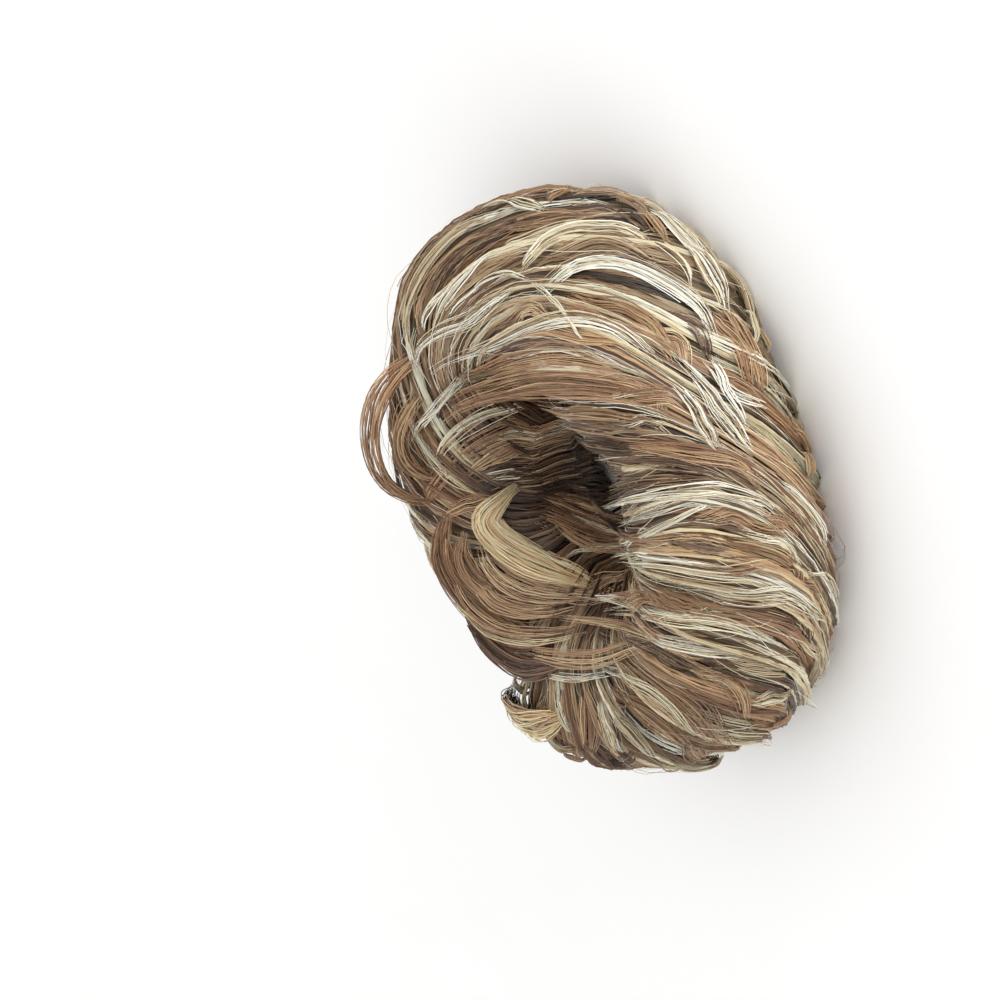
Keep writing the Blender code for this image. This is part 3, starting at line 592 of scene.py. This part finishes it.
class Strands:
    """Strands gathered for one piece, as lines with a thickness, a tone and a warmth at each point."""

    def __init__(self, name, slot):
        self.name, self.slot = name, slot
        self.counts, self.points, self.outs, self.radii, self.tones, self.warmths = [], [], [], [], [], []

    def lay(self, points, outs, radii, tones, warmths):
        """points and outs are (strands, steps, 3); the rest has a value for each strand or each point."""
        strands, steps = radii.shape
        self.counts += [steps] * strands
        self.points.append(points.reshape(-1, 3))
        self.outs.append(outs.reshape(-1, 3))
        self.radii.append(radii.ravel())
        self.tones.append(np.broadcast_to(tones, radii.shape).ravel())
        self.warmths.append(np.broadcast_to(warmths, radii.shape).ravel())


def waves(rng, strands, t, size, cycles):
    """Slow random waves along each strand."""
    total = 0.0
    for cycle in cycles:
        phase = rng.uniform(0, 2 * math.pi, (strands, 1))
        total = total + rng.normal(0, 1, (strands, 1)) * np.sin(2 * math.pi * cycle * t + phase) / cycle
    return size * total


def taper(t, share, least):
    """Width along a strand: least at both ends and full after the share given."""
    ends = np.minimum(t, 1 - t) / share
    return least + (1 - least) * smooth(ends)


def lay_lock_wisp(strands, field, rng, lock, tone, warmth):
    """One wisp of a lock: strands side by side, rounded across, that tuck in at both ends."""
    count = int(rng.integers(*WISP_STRANDS))
    t = np.linspace(0, 1, LOCK_STEPS)[None, :]
    start = rng.uniform(-180, 180)
    v = start - rng.uniform(*WISP_TURN) * t
    v = v + rng.uniform(-WISP_RAGGED, WISP_RAGGED, (count, 1))
    depth = rng.uniform(*WISP_DEPTH)
    spread = rng.uniform(*WISP_SPREAD)
    across = rng.uniform(-1, 1, (count, 1))
    aside, upwards = WISP_STRAND_WANDER
    centre = lock + rng.uniform(-WISP_PLACES, WISP_PLACES) + waves(rng, 1, t, WISP_WANDER, (1, 2))
    tight = 1 + waves(rng, 1, t, WISP_TIGHTENING, (1, 2))
    q = centre + across * spread * tight + waves(rng, count, t, aside, (2, 3))
    crown = WISP_CROWN * (1 - across ** 2)
    tuck = TUCK * (1 - smooth(np.minimum(t, 1 - t) / TUCK_SHARE))
    height = field.height(q, v) + depth + crown - tuck
    height = height + rng.uniform(-WISP_LEVELS, WISP_LEVELS, (count, 1))
    height = height + waves(rng, count, t, upwards, (2, 3))
    u = field.angle(q, v)
    points, out = tube_point(u, v)
    points = points + out * (height + swell(u, v))[..., None]
    pulled = TIGHT_WIDTH + (1 - TIGHT_WIDTH) * relief_share(v)
    width = rng.uniform(*STRAND_WIDTH, (count, 1)) * pulled * taper(t, *WISP_TIPS)
    points = keep_clear(points, width / 2, "over" if depth > OUTER_WISP else "behind")
    # tones painted darker in the hole, as painted shade
    tones = (tone + rng.normal(0, WISP_SPREADS[0], (count, 1))) * painted_hole_shade(v)
    strands.lay(points, out, width / 2, tones, warmth + rng.normal(0, WISP_SPREADS[1], (count, 1)))


def lay_locks(field, rng):
    """All the locks, shared out over pieces of neighbouring locks."""
    pieces = []
    for name, (first, end) in LOCK_PIECES.items():
        strands = Strands(name, "hair_mixed")
        for lock in range(first, end):
            tone, warmth = field.tones[lock]
            for _ in range(LOCK_WISPS):
                shade = tone + rng.normal(0, LOCK_SPREADS[0])
                if rng.uniform() < MIXED_WISPS:
                    shade = rng.choice(WISP_TONES)
                lay_lock_wisp(strands, field, rng, lock, shade, warmth + rng.normal(0, LOCK_SPREADS[1]))
        pieces.append(strands)
    return pieces


def lay_along(strands, rng, centre, out, count, width, thick, tone, warmth, look):
    """Strands along one way, spread over an oval section that closes towards both ends."""
    steps = look["steps"]
    dense = np.linspace(0, 1, len(centre))
    length = np.linalg.norm(np.diff(centre, axis=0), axis=1).sum()
    wander = look["wander"] * min(1.0, length / LONG_WAY)
    along = np.gradient(centre, axis=0)
    along /= np.linalg.norm(along, axis=1, keepdims=True)
    side = np.cross(along, out)
    side /= np.linalg.norm(side, axis=1, keepdims=True)
    first = rng.uniform(0, look["ragged"], (count, 1))
    last = 1 - rng.uniform(0, look["ragged"], (count, 1))
    t = first + (last - first) * np.linspace(0, 1, steps)[None, :]

    def read(values):
        return np.stack([np.interp(t, dense, values[:, axis]) for axis in range(3)], -1)

    turn = rng.uniform(0, 2 * math.pi, (count, 1))
    reach = np.sqrt(rng.uniform(look["hollow"], 1, (count, 1)))
    section = taper(t, look["close"], look["tip"])
    a = np.cos(turn) * reach * width / 2 * section + waves(rng, count, t, wander, (1, 2))
    b = np.sin(turn) * reach * thick / 2 * section + waves(rng, count, t, wander / 2, (1, 2))
    b = b - look["tuck"] * (1 - smooth(np.minimum(t, 1 - t) / look["sink"]))
    points = read(centre) + read(side) * a[..., None] + read(out) * b[..., None]
    wide = rng.uniform(*look["strand"], (count, 1)) * taper(t, *BUNDLE_TIPS)
    points = keep_clear(points, wide / 2, look["passes"])
    tones = tone + rng.normal(0, look["mix"], (count, 1))
    strays = rng.uniform(0, 1, (count, 1)) < look["strays"]
    tones = np.where(strays, rng.choice(STRAY_TONES, (count, 1)), tones)
    strands.lay(points, read(out), wide / 2, tones, warmth + rng.normal(0, WARMTH_SPREAD, (count, 1)))


def moving_average(values, reach):
    """Values along a way, each the mean of its neighbours up to reach steps off."""
    padded = np.pad(values, ((reach, reach), (0, 0)), "edge")
    return np.stack([padded[k:k + len(values)] for k in range(2 * reach + 1)]).mean(axis=0)


def taut_distance(distance):
    """How far off a way lies once it is pulled tight towards the view: no point is further than its chord."""
    chain = []
    for i, d in enumerate(distance):
        while len(chain) > 1:
            (a, da), (b, db) = chain[-2:]
            if (db - da) * (i - a) < (d - da) * (b - a):
                break
            chain.pop()
        chain.append((i, d))
    return np.interp(np.arange(len(distance)), [i for i, _ in chain], [d for _, d in chain])


def view_ray(x, y):
    """The direction from the camera through a place in the view."""
    right, up, back = view_axes()
    across, above = x / VIEW_SIZE - 0.5, 0.5 - y / VIEW_SIZE
    return (right * (across * SENSOR) + up * (above * SENSOR) - back * CAMERA_LENS).normalized()


def parts_between_jumps(distance):
    """The stretches of a way that lie on one side of the hole, as the first and last step of each."""
    jumps = np.nonzero(np.abs(np.diff(distance)) > DEPTH_JUMP)[0] + 1
    edges = [0, *jumps, len(distance)]
    return [(first, end) for first, end in zip(edges, edges[1:]) if end - first >= SHORTEST_PART]


def run_on(points, before, after):
    """A way with straight steps added at its ends."""
    reach = min(TANGENT_STEPS, len(points) - 1)
    start = (points[0] - points[reach]) / reach
    finish = (points[-1] - points[-1 - reach]) / reach
    lead = points[0] + start * np.arange(before, 0, -1)[:, None]
    trail = points[-1] + finish * np.arange(1, after + 1)[:, None]
    return np.concatenate([lead, points, trail])


def seen_on_ring(surface, way, taut):
    """The points of the ring, and the directions out of it, that the view shows along a way.

    A way that would cross the open hole comes back in parts, one for each side of the hole.
    """
    place = camera_place()
    rays, met = [], []
    for x, y in through(-np.arange(len(way)), way, -np.linspace(0, len(way) - 1, WAY_STEPS)):
        ray = view_ray(x, y)
        for inward in np.arange(0, INWARD_REACH, INWARD_STEP):
            nearer = view_ray(x + (RING_AT[0] - x) * inward, y + (RING_AT[1] - y) * inward)
            point, out, _, reach = surface.ray_cast(place, nearer)
            if point is not None:
                ray = nearer
                met.append((len(rays), reach, *out))
                break
        rays.append(ray)
    met, rays, place = np.array(met), np.array(rays), np.array(place)
    found, *outs = [np.interp(np.arange(WAY_STEPS), met[:, 0], met[:, k]) for k in range(1, 5)]
    outs = np.stack(outs, axis=1)
    tight = taut_distance(found)
    across = (place + rays * tight[:, None])[:, :2]
    parts = parts_between_jumps(found)
    passes = "outermost"
    if taut and np.linalg.norm(across, axis=1).min() > SEAT_RADIUS * MM:
        found, parts, passes = tight, [(0, WAY_STEPS)], "nearer"
        outs = outs + np.array(view_axes()[2])
    ways = []
    for first, end in parts:
        distance = moving_average(found[first:end, None], DEPTH_SMOOTHING)
        points = moving_average((place + rays[first:end] * distance) / MM, WAY_SMOOTHING)
        before, after = (WAY_EXTRA if first else 0), (WAY_EXTRA if end < WAY_STEPS else 0)
        points = run_on(points, before, after)
        lie = moving_average(np.pad(outs[first:end], ((before, after), (0, 0)), "edge"), LIE_SMOOTHING)
        ways.append((points, lie / np.linalg.norm(lie, axis=1, keepdims=True), passes))
    return ways


def lay_tresses(surface, rng):
    """The tresses of the pictured side, each a flat bundle that thins out at both ends."""
    pieces = Strands("tresses_upper", "hair_mixed"), Strands("tresses_lower", "hair_mixed")
    for tone, warmth, width, lift, taut, way in TRESSES:
        strands = pieces[0] if way[0][1] < TRESS_PARTING else pieces[1]
        count = max(TRESS_LEAST, int(width / TRESS_PITCH))
        for centre, out, passes in seen_on_ring(surface, np.array(way, float), taut):
            centre = centre + out * (CORE_DEPTH + TRESS_RISE + lift)
            lay_along(strands, rng, centre, out, count, width * TRESS_SPREAD, TRESS_THICKNESS, tone, warmth,
                      {**TRESS_LOOK, "passes": passes})
    return pieces


def lay_curl(name, curl, rng):
    """A loose curl as a bundle of strands, in the place of its solid."""
    strands = Strands(name, curl["slot"])
    way = curl["way"]
    u = np.array([p[0] for p in way], float)
    v = np.array([p[1] for p in way], float)
    knots, out = tube_point(u, v)
    knots = knots + out * (np.array([p[2] for p in way]) + swell(u, v))[:, None]
    steps = np.linspace(0, len(way) - 1, CURL_WAY_STEPS)
    centre = moving_average(through(-np.arange(len(way)), knots, -steps), CURL_SMOOTHING)
    radial = centre * (1, 1, 0)
    radial /= np.linalg.norm(radial, axis=1, keepdims=True)
    core = radial * RING_RADIUS + (0, 0, MIDDLE_Z)
    along = np.gradient(centre, axis=0)
    along /= np.linalg.norm(along, axis=1, keepdims=True)
    out = centre - core
    out -= along * (out * along).sum(axis=1, keepdims=True)
    out /= np.linalg.norm(out, axis=1, keepdims=True)
    look = {**CURL_LOOK, "wander": curl["loose"], "passes": "over"}
    lay_along(strands, rng, centre, out, curl["strands"], curl["width"] * curl["spread"], curl["thick"],
              curl["tone"], curl["warmth"], look)
    return strands


def lay_flyaways(field, rng):
    """Single fine hairs that cross the locks and stand a little off them."""
    strands = Strands("flyaway_hairs", "hair_mixed")
    t = np.linspace(0, 1, FLYAWAY_STEPS)[None, :]
    each = (FLYAWAYS, 1)
    q = rng.uniform(0, field.count, each) + rng.normal(0, FLYAWAY_DRIFT, each) * (t - 0.5)
    v = rng.uniform(*FLYAWAY_START, each) - rng.uniform(*FLYAWAY_TURN, each) * t
    rise = rng.gamma(*FLYAWAY_RISE, each) * np.sin(math.pi * t) ** FLYAWAY_ARCH
    q = q + waves(rng, FLYAWAYS, t, FLYAWAY_WANDER, (1, 2))
    u = field.angle(q, v)
    points, out = tube_point(u, v)
    height = field.height(q, v) + rise - FLYAWAY_SINK + swell(u, v)
    points = points + out * height[..., None]
    width = rng.uniform(*FLYAWAY_WIDTH, each) * taper(t, *FLYAWAY_TIPS)
    points = keep_clear(points, width / 2, "over")
    # tones painted darker in the hole, as painted shade
    tones = rng.choice(FLYAWAY_TONES, each) * painted_hole_shade(v)
    strands.lay(points, out, width / 2, tones, rng.uniform(*FLYAWAY_WARMTH, each))
    return strands


def put(tree, kind, inputs=None, **settings):
    """Add a node with its settings; its inputs are values, or outputs of other nodes to link."""
    node = tree.nodes.new(kind)
    for key, value in settings.items():
        setattr(node, key, value)
    for key, value in (inputs or {}).items():
        if isinstance(value, bpy.types.NodeSocket):
            tree.links.new(value, node.inputs[key])
        else:
            node.inputs[key].default_value = value
    return node


def strand_tree():
    """Geometry Nodes that turn lines into closed strands, each on its own strip of the map."""
    tree = bpy.data.node_groups.new("strands_from_lines", "GeometryNodeTree")
    sockets = (("Lines", "INPUT", "NodeSocketGeometry"), ("Sides", "INPUT", "NodeSocketInt"),
               ("Strip width", "INPUT", "NodeSocketFloat"), ("Strip height", "INPUT", "NodeSocketFloat"),
               ("Material", "INPUT", "NodeSocketMaterial"), ("Strands", "OUTPUT", "NodeSocketGeometry"))
    for name, way, kind in sockets:
        tree.interface.new_socket(name=name, in_out=way, socket_type=kind)
    given = put(tree, "NodeGroupInput").outputs

    def named(name, data_type):
        node = put(tree, "GeometryNodeInputNamedAttribute", {"Name": name}, data_type=data_type)
        return node.outputs["Attribute"]

    factor = put(tree, "GeometryNodeSplineParameter").outputs["Factor"]
    lines = put(tree, "GeometryNodeMeshToCurve", {"Mesh": given["Lines"]})
    long_way = put(tree, "GeometryNodeStoreNamedAttribute",
                   {"Geometry": lines.outputs["Curve"], "Name": "along", "Value": factor}, data_type="FLOAT")
    ring = put(tree, "GeometryNodeCurvePrimitiveCircle", {"Resolution": given["Sides"], "Radius": 1.0})
    round_way = put(tree, "GeometryNodeStoreNamedAttribute",
                    {"Geometry": ring.outputs["Curve"], "Name": "around", "Value": factor}, data_type="FLOAT")
    tubes = put(tree, "GeometryNodeCurveToMesh",
                {"Curve": long_way.outputs["Geometry"], "Profile Curve": round_way.outputs["Geometry"],
                 "Scale": named("thickness", "FLOAT"), "Fill Caps": True})
    over = put(tree, "ShaderNodeMath", {0: named("around", "FLOAT"), 1: given["Strip width"]},
               operation="MULTIPLY")
    up = put(tree, "ShaderNodeMath", {0: named("along", "FLOAT"), 1: given["Strip height"]},
             operation="MULTIPLY")
    inside = put(tree, "ShaderNodeCombineXYZ", {"X": over.outputs[0], "Y": up.outputs[0]})
    place = put(tree, "ShaderNodeVectorMath", {0: named("strip", "FLOAT_VECTOR"), 1: inside.outputs[0]},
                operation="ADD")
    mapped = put(tree, "GeometryNodeStoreNamedAttribute",
                 {"Geometry": tubes.outputs["Mesh"], "Name": "OFBake", "Value": place.outputs[0]},
                 data_type="FLOAT2", domain="CORNER")
    real = put(tree, "GeometryNodeRealizeInstances", {"Geometry": mapped.outputs["Geometry"]})
    finished = put(tree, "GeometryNodeSetMaterial",
                   {"Geometry": real.outputs["Geometry"], "Material": given["Material"]})
    put(tree, "NodeGroupOutput", {"Strands": finished.outputs["Geometry"]})
    return tree


def line_mesh(strands):
    """The strands of a piece as lines of edges that carry their thickness, tone, warmth and strip."""
    mesh = bpy.data.meshes.new(strands.name)
    points = np.concatenate(strands.points) * MM
    counts = np.array(strands.counts)
    strip_columns = math.ceil(len(counts) / MAP_ROWS)
    order = np.repeat(np.arange(len(counts)), counts)
    joined = np.nonzero(order[:-1] == order[1:])[0]
    mesh.vertices.add(len(points))
    mesh.vertices.foreach_set("co", points.astype(np.float32).ravel())
    mesh.edges.add(len(joined))
    mesh.edges.foreach_set("vertices", np.column_stack([joined, joined + 1]).astype(np.int32).ravel())
    strips = np.column_stack([order % strip_columns / strip_columns, order // strip_columns / MAP_ROWS,
                              np.zeros(len(order))])
    for name, values in (("thickness", np.concatenate(strands.radii) * MM),
                         ("tone", np.clip(np.concatenate(strands.tones), 0, 1)),
                         ("warmth", np.clip(np.concatenate(strands.warmths), 0, 1))):
        mesh.attributes.new(name, "FLOAT", "POINT").data.foreach_set("value", values.astype(np.float32))
    for name, values in (("strip", strips), ("lie", np.concatenate(strands.outs))):
        layer = mesh.attributes.new(name, "FLOAT_VECTOR", "POINT")
        layer.data.foreach_set("vector", values.astype(np.float32).ravel())
    mesh.update()
    return mesh, strip_columns


def make_strands(strands, tree, material):
    """Turn the gathered lines into one plain mesh of closed strands."""
    mesh, strip_columns = line_mesh(strands)
    obj = bpy.data.objects.new(strands.name, mesh)
    bpy.context.scene.collection.objects.link(obj)
    modifier = obj.modifiers.new("strands", "NODES")
    modifier.node_group = tree
    wanted = {"Sides": STRAND_SIDES, "Strip width": STRIP_FILL[0] / strip_columns,
              "Strip height": STRIP_FILL[1] / MAP_ROWS, "Material": material}
    for item in tree.interface.items_tree:
        if item.name in wanted:
            modifier[item.identifier] = wanted[item.name]
    shape = bpy.data.meshes.new_from_object(obj.evaluated_get(bpy.context.evaluated_depsgraph_get()))
    obj.modifiers.remove(modifier)
    obj.data = shape
    bpy.data.meshes.remove(mesh)
    shape.name = strands.name
    shape.shade_smooth()
    shade_as_lock(shape)
    for name in ("along", "around", "strip", "thickness", "lie"):
        if name in shape.attributes:
            shape.attributes.remove(shape.attributes[name])
    return obj


def shade_as_lock(shape):
    """Turn the strands' normals part of the way out of the lock, so that light runs over a lock as one."""
    total = len(shape.vertices)
    lie, own = np.zeros(total * 3, np.float32), np.zeros(total * 3, np.float32)
    shape.attributes["lie"].data.foreach_get("vector", lie)
    shape.vertex_normals.foreach_get("vector", own)
    normals = LOCK_SHADING * lie.reshape(-1, 3) + (1 - LOCK_SHADING) * own.reshape(-1, 3)
    normals /= np.maximum(np.linalg.norm(normals, axis=1, keepdims=True), 1e-6)
    shape.normals_split_custom_set_from_vertices(normals)


def build_core(field, material):
    """The under-hair: one closed ring whose facets follow the locks."""
    columns = field.count * CORE_COLUMNS_PER_LOCK
    shift = LOCKS_PER_TURN * CORE_COLUMNS_PER_LOCK
    vs = 180 - 360 * np.arange(CORE_ROWS) / CORE_ROWS
    q, v = np.meshgrid(np.arange(columns) / CORE_COLUMNS_PER_LOCK, vs)
    u = field.angle(q, v)
    points, out = tube_point(u, v)
    points = points + out * (field.height(q, v) + swell(u, v) - CORE_DEPTH)[..., None]
    points = keep_clear(points, np.full(q.shape, CORE_CLEARANCE), "behind")
    faces, uvs = [], []
    for j in range(CORE_ROWS):
        closing = j == CORE_ROWS - 1
        below, turned = (0, shift) if closing else ((j + 1) * columns, 0)
        for c in range(columns):
            there = (c + 1) % columns
            faces.append((j * columns + there, below + (there + turned) % columns,
                          below + (c + turned) % columns, j * columns + c))
            left, right = c / columns, (c + 1) / columns
            high, low = j / CORE_ROWS, (j + 1) / CORE_ROWS
            uvs += [right, high, right, low, left, low, left, high]
    mesh = bpy.data.meshes.new("under_hair")
    mesh.from_pydata([tuple(p) for p in points.reshape(-1, 3) * MM], [], faces)
    layer = mesh.uv_layers.new(name="OFBake")
    layer.data.foreach_set("uv", uvs)
    mesh.materials.append(material)
    mesh.shade_smooth()
    obj = bpy.data.objects.new("under_hair", mesh)
    bpy.context.scene.collection.objects.link(obj)
    return obj


def linear(hex_colour):
    """An sRGB colour such as '#7a5a44' as linear red, green, blue and alpha."""
    parts = [int(hex_colour[i:i + 2], 16) / 255 for i in (1, 3, 5)]
    return (*(c / 12.92 if c <= 0.04045 else ((c + 0.055) / 1.055) ** 2.4 for c in parts), 1.0)


def new_material(name):
    """A material with its node tree and its shader."""
    material = bpy.data.materials.new(name)
    material.use_nodes = True
    tree = material.node_tree
    return material, tree, tree.nodes["Principled BSDF"]


# Sizes of patterns in millimetres, and the ribs round the elastic loop
DYE_PATCH = 6.25
CARD_GRAIN = 25.0
RIBS = 160

# Dyed fibre from dark to light, as (tone, colour)
ASH_SHADES = ((0.0, "#1a130e"), (0.18, "#483a2c"), (0.36, "#806b52"), (0.52, "#a99372"), (0.66, "#c9b996"),
              (0.80, "#dfd6b6"), (0.92, "#eeead6"), (1.0, "#f9f7ee"))
WARM_SHADES = ((0.0, "#20120c"), (0.18, "#523624"), (0.36, "#8f6446"), (0.52, "#b98c66"), (0.66, "#d4af82"),
               (0.80, "#e6cf98"), (0.92, "#f2e5bf"), (1.0, "#f9f4e0"))


def dyed(tree, tone, shades):
    """The colour that fibre of a tone has, in one range of shades."""
    node = put(tree, "ShaderNodeValToRGB", {"Fac": tone})
    elements = node.color_ramp.elements
    while len(elements) < len(shades):
        elements.new(0.5)
    for element, (place, colour) in zip(elements, shades):
        element.position = place
        element.color = linear(colour)
    return node.outputs["Color"]


def hair_colour(tree, tone, warmth):
    """The colour of fibre that is dyed between ash and reddish."""
    mix = put(tree, "ShaderNodeMix", {"Factor": warmth}, data_type="RGBA")
    tree.links.new(dyed(tree, tone, ASH_SHADES), mix.inputs[6])
    tree.links.new(dyed(tree, tone, WARM_SHADES), mix.inputs[7])
    return mix.outputs[2]


def strand_hair():
    """Modacrylic fibre, spun and heat set: smooth, so it has a long soft gleam; the dye varies a little."""
    material, tree, shader = new_material("modacrylic_fibre")
    tone = put(tree, "ShaderNodeAttribute", attribute_name="tone").outputs["Fac"]
    warmth = put(tree, "ShaderNodeAttribute", attribute_name="warmth").outputs["Fac"]
    where = put(tree, "ShaderNodeTexCoord").outputs["Object"]
    noise = put(tree, "ShaderNodeTexNoise", {"Vector": where, "Scale": 1 / (DYE_PATCH * MM), "Detail": 2.0})
    patch = noise.outputs["Fac"]
    shift = put(tree, "ShaderNodeMapRange", {"Value": patch, "To Min": -0.09, "To Max": 0.09}).outputs[0]
    varied = put(tree, "ShaderNodeMath", {0: tone, 1: shift}, operation="ADD").outputs[0]
    tree.links.new(hair_colour(tree, varied, warmth), shader.inputs["Base Color"])
    gleam = put(tree, "ShaderNodeMapRange", {"Value": patch, "To Min": 0.34, "To Max": 0.50}).outputs[0]
    tree.links.new(gleam, shader.inputs["Roughness"])
    shader.inputs["IOR"].default_value = 1.52
    shader.inputs["Specular IOR Level"].default_value = 0.5
    return material


def under_hair():
    """The same fibre packed close, its colour painted dark as painted shade for the shade it lies in, with
    fine streaks along the locks.
    """
    material, tree, shader = new_material("modacrylic_under_hair")
    where = put(tree, "ShaderNodeUVMap", uv_map="OFBake").outputs["UV"]
    # about 0.5 mm across a streak and 40 mm along it
    stretched = put(tree, "ShaderNodeMapping", {"Vector": where, "Scale": (620.0, 4.0, 1.0)}).outputs[0]
    noise = put(tree, "ShaderNodeTexNoise", {"Vector": stretched, "Scale": 1.0, "Detail": 3.0})
    streak = noise.outputs["Fac"]
    # the low range of tones is painted shade under the strands; the streaks are the fibre's own
    tone = put(tree, "ShaderNodeMapRange",
               {"Value": streak, "From Min": 0.3, "From Max": 0.7, "To Min": 0.1, "To Max": 0.5}).outputs[0]
    tree.links.new(dyed(tree, tone, ASH_SHADES), shader.inputs["Base Color"])
    shader.inputs["Roughness"].default_value = 0.6
    bump = put(tree, "ShaderNodeBump", {"Height": streak, "Strength": 0.6, "Distance": 0.0003})
    tree.links.new(bump.outputs[0], shader.inputs["Normal"])
    return material


def covered_elastic():
    """Rubber covered with braided yarn: matt, with fine ribs across the band."""
    material, tree, shader = new_material("covered_elastic")
    where = put(tree, "ShaderNodeTexCoord").outputs["Object"]
    turn = put(tree, "ShaderNodeTexGradient", {"Vector": where}, gradient_type="RADIAL").outputs["Fac"]
    # ribs 0.9 mm apart round a loop 143 mm long
    ribs = put(tree, "ShaderNodeMath", {0: turn, 1: 2 * math.pi * RIBS}, operation="MULTIPLY").outputs[0]
    wave = put(tree, "ShaderNodeMath", {0: ribs}, operation="SINE").outputs[0]
    shade = put(tree, "ShaderNodeMapRange", {"Value": wave, "From Min": -1.0}).outputs[0]
    mix = put(tree, "ShaderNodeMix", {"Factor": shade}, data_type="RGBA")
    mix.inputs[6].default_value = linear("#1d1512")
    mix.inputs[7].default_value = linear("#3a2c25")
    tree.links.new(mix.outputs[2], shader.inputs["Base Color"])
    shader.inputs["Roughness"].default_value = 0.8
    bump = put(tree, "ShaderNodeBump", {"Height": wave, "Strength": 0.5, "Distance": 0.0002})
    tree.links.new(bump.outputs[0], shader.inputs["Normal"])
    return material


def pale_card():
    """Matt white card: an even, pale ground."""
    material, tree, shader = new_material("matt_card")
    where = put(tree, "ShaderNodeTexCoord").outputs["Object"]
    grain = put(tree, "ShaderNodeTexNoise", {"Vector": where, "Scale": 1 / (CARD_GRAIN * MM)}).outputs["Fac"]
    mix = put(tree, "ShaderNodeMix", {"Factor": grain}, data_type="RGBA")
    mix.inputs[6].default_value = linear("#fdfdfc")
    mix.inputs[7].default_value = linear("#ffffff")
    tree.links.new(mix.outputs[2], shader.inputs["Base Color"])
    shader.inputs["Roughness"].default_value = 0.9
    shader.inputs["Specular IOR Level"].default_value = 0.1
    return material


def view_axes():
    """The directions right and up in the view, and back towards the camera."""
    rise, roll = math.radians(CAMERA_RISE), math.radians(CAMERA_ROLL)
    level = Vector((1, 0, 0))
    upright = Vector((0, math.sin(rise), math.cos(rise)))
    right = level * math.cos(roll) + upright * math.sin(roll)
    up = upright * math.cos(roll) - level * math.sin(roll)
    return right, up, right.cross(up)


def camera_place():
    """Where the camera stands, in metres."""
    right, up, back = view_axes()
    middle = Vector((0, 0, MIDDLE_Z * MM))
    return middle - right * (RING_IN_VIEW[0] * MM) - up * (RING_IN_VIEW[1] * MM) + back * CAMERA_AWAY


def set_camera():
    right, up, back = view_axes()
    data = bpy.data.cameras.new("camera")
    data.lens = CAMERA_LENS
    data.sensor_width = SENSOR
    data.clip_start, data.clip_end = 0.1, 10.0
    camera = bpy.data.objects.new("camera", data)
    bpy.context.scene.collection.objects.link(camera)
    turn = Matrix((right, up, back)).transposed().to_4x4()
    camera.matrix_world = Matrix.Translation(camera_place()) @ turn
    bpy.context.scene.camera = camera


def add_light(name, watts, size, towards, away):
    """A soft square light, placed by its direction from the ring as (right, up, back) in the view."""
    data = bpy.data.lights.new(name, "AREA")
    data.energy, data.size = watts, size
    lamp = bpy.data.objects.new(name, data)
    bpy.context.scene.collection.objects.link(lamp)
    right, up, back = view_axes()
    direction = (right * towards[0] + up * towards[1] + back * towards[2]).normalized()
    middle = Vector((0, 0, MIDDLE_Z * MM))
    turn = direction.to_track_quat("Z", "Y").to_matrix().to_4x4()
    lamp.matrix_world = Matrix.Translation(middle + direction * away) @ turn


def light_scene():
    for lamp in LIGHTS:
        add_light(*lamp)
    world = bpy.data.worlds.new("studio")
    world.use_nodes = True
    world.node_tree.nodes["Background"].inputs["Color"].default_value = (1, 1, 1, 1)
    world.node_tree.nodes["Background"].inputs["Strength"].default_value = 1.0
    bpy.context.scene.world = world
    bpy.context.scene.view_settings.view_transform = "Standard"


def lay_floor():
    half = FLOOR_HALF
    corners = [(-half, -half, 0), (half, -half, 0), (half, half, 0), (-half, half, 0)]
    mesh = bpy.data.meshes.new("floor")
    mesh.from_pydata(corners, [], [(0, 1, 2, 3)])
    mesh.materials.append(pale_card())
    floor = bpy.data.objects.new("floor", mesh)
    bpy.context.scene.collection.objects.link(floor)


def finish_piece(obj, slot, *nodes):
    """Hang a piece on the ring's body and hide what it stands for."""
    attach(obj, "root")
    if nodes:
        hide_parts(*nodes)


def main():
    set_camera()
    light_scene()
    lay_floor()
    field = LockField()
    rng = np.random.default_rng(SEED)
    tree = strand_tree()
    fibre = strand_hair()
    core = build_core(field, under_hair())
    corners = [v.co for v in core.data.vertices]
    surface = BVHTree.FromPolygons(corners, [p.vertices for p in core.data.polygons])
    finish_piece(core, "hair_mixed", "hair_roll")
    for strands in (*lay_locks(field, rng), *lay_tresses(surface, rng), lay_flyaways(field, rng)):
        finish_piece(make_strands(strands, tree, fibre), "hair_mixed")
    for name, curl in CURLS.items():
        strands = lay_curl(name + "_hair", curl, rng)
        finish_piece(make_strands(strands, tree, fibre), curl["slot"], name)
    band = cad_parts["elastic_band"]
    band.data.materials.clear()
    band.data.materials.append(covered_elastic())


main()
